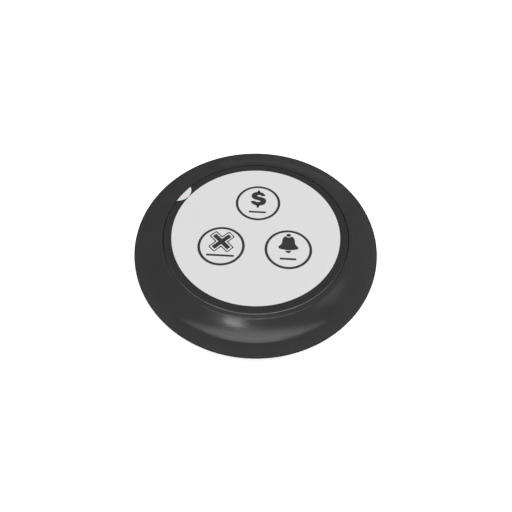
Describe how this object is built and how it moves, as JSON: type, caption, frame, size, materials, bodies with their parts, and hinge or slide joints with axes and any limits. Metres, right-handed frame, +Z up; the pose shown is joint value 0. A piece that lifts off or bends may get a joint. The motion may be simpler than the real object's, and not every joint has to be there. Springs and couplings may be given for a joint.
{
  "type": "wireless table call button",
  "caption": "Round wireless service call button with flat touch-key face, soft rounded black housing, crescent indicator window and coin-slot battery door.",
  "frame": {"origin": "centre of the round footprint, on the surface it stands on", "axes": "+Z up through the face, +Y towards the bill key, +X to the right as the face is read"},
  "size_m": [0.06, 0.06, 0.013],
  "materials": {
    "housing_plastic": "satin moulded black plastic",
    "face_film": "printed silver-grey overlay film",
    "silicone": "grey silicone",
    "seal_rubber": "black rubber",
    "door_seal_rubber": "red-brown silicone",
    "lens_plastic": "milky translucent plastic",
    "led_resin": "clear resin on a white body",
    "board": "green solder mask",
    "dark_component": "black moulding compound",
    "tinned_metal": "tinned sheet metal",
    "ceramic": "fired ceramic",
    "copper_wire": "bare copper",
    "cell_steel": "nickel-plated steel",
    "cell_gasket_plastic": "dark nylon",
    "screw_steel": "zinc-plated steel"
  },
  "bodies": {
    "case": {"top_housing": "housing_plastic", "bottom_housing": "housing_plastic", "case_seal": "seal_rubber", "foot_ring": "seal_rubber", "face_film": "face_film", "bill_switch": "tinned_metal", "cancel_switch": "tinned_metal", "call_switch": "tinned_metal", "switch_terminals": "tinned_metal", "indicator_lens": "lens_plastic", "indicator_led": "led_resin", "circuit_board": "board", "encoder_chip": "dark_component", "encoder_chip_leads": "tinned_metal", "rf_resonator": "tinned_metal", "rf_transistor": "dark_component", "bulk_capacitor": "tinned_metal", "ceramic_capacitors": "ceramic", "resistors": "dark_component", "loop_antenna": "copper_wire", "positive_contact": "tinned_metal", "negative_contact": "tinned_metal", "cell_can": "cell_steel", "cell_gasket": "cell_gasket_plastic", "cell_cap": "cell_steel", "case_screws": "screw_steel", "board_screws": "screw_steel"},
    "bill_key": {"bill_key_film": "face_film", "bill_actuator": "silicone", "bill_switch_plunger": "dark_component"},
    "cancel_key": {"cancel_key_film": "face_film", "cancel_actuator": "silicone", "cancel_switch_plunger": "dark_component"},
    "call_key": {"call_key_film": "face_film", "call_actuator": "silicone", "call_switch_plunger": "dark_component"},
    "battery_door": {"battery_door": "housing_plastic", "door_seal": "door_seal_rubber"}
  },
  "joints": [
    {"name": "bill_key_press", "type": "slide", "parent": "case", "child": "bill_key", "axis": [0, 0, -1], "range_m": [0, 0.0003], "stiffness_N_per_m": 5000},
    {"name": "cancel_key_press", "type": "slide", "parent": "case", "child": "cancel_key", "axis": [0, 0, -1], "range_m": [0, 0.0003], "stiffness_N_per_m": 5000},
    {"name": "call_key_press", "type": "slide", "parent": "case", "child": "call_key", "axis": [0, 0, -1], "range_m": [0, 0.0003], "stiffness_N_per_m": 5000},
    {"name": "battery_door_turn", "type": "hinge", "parent": "case", "child": "battery_door", "pos_m": [0, 0, 0.001], "axis": [0, 0, -1], "range_deg": [0, 40]}
  ]
}
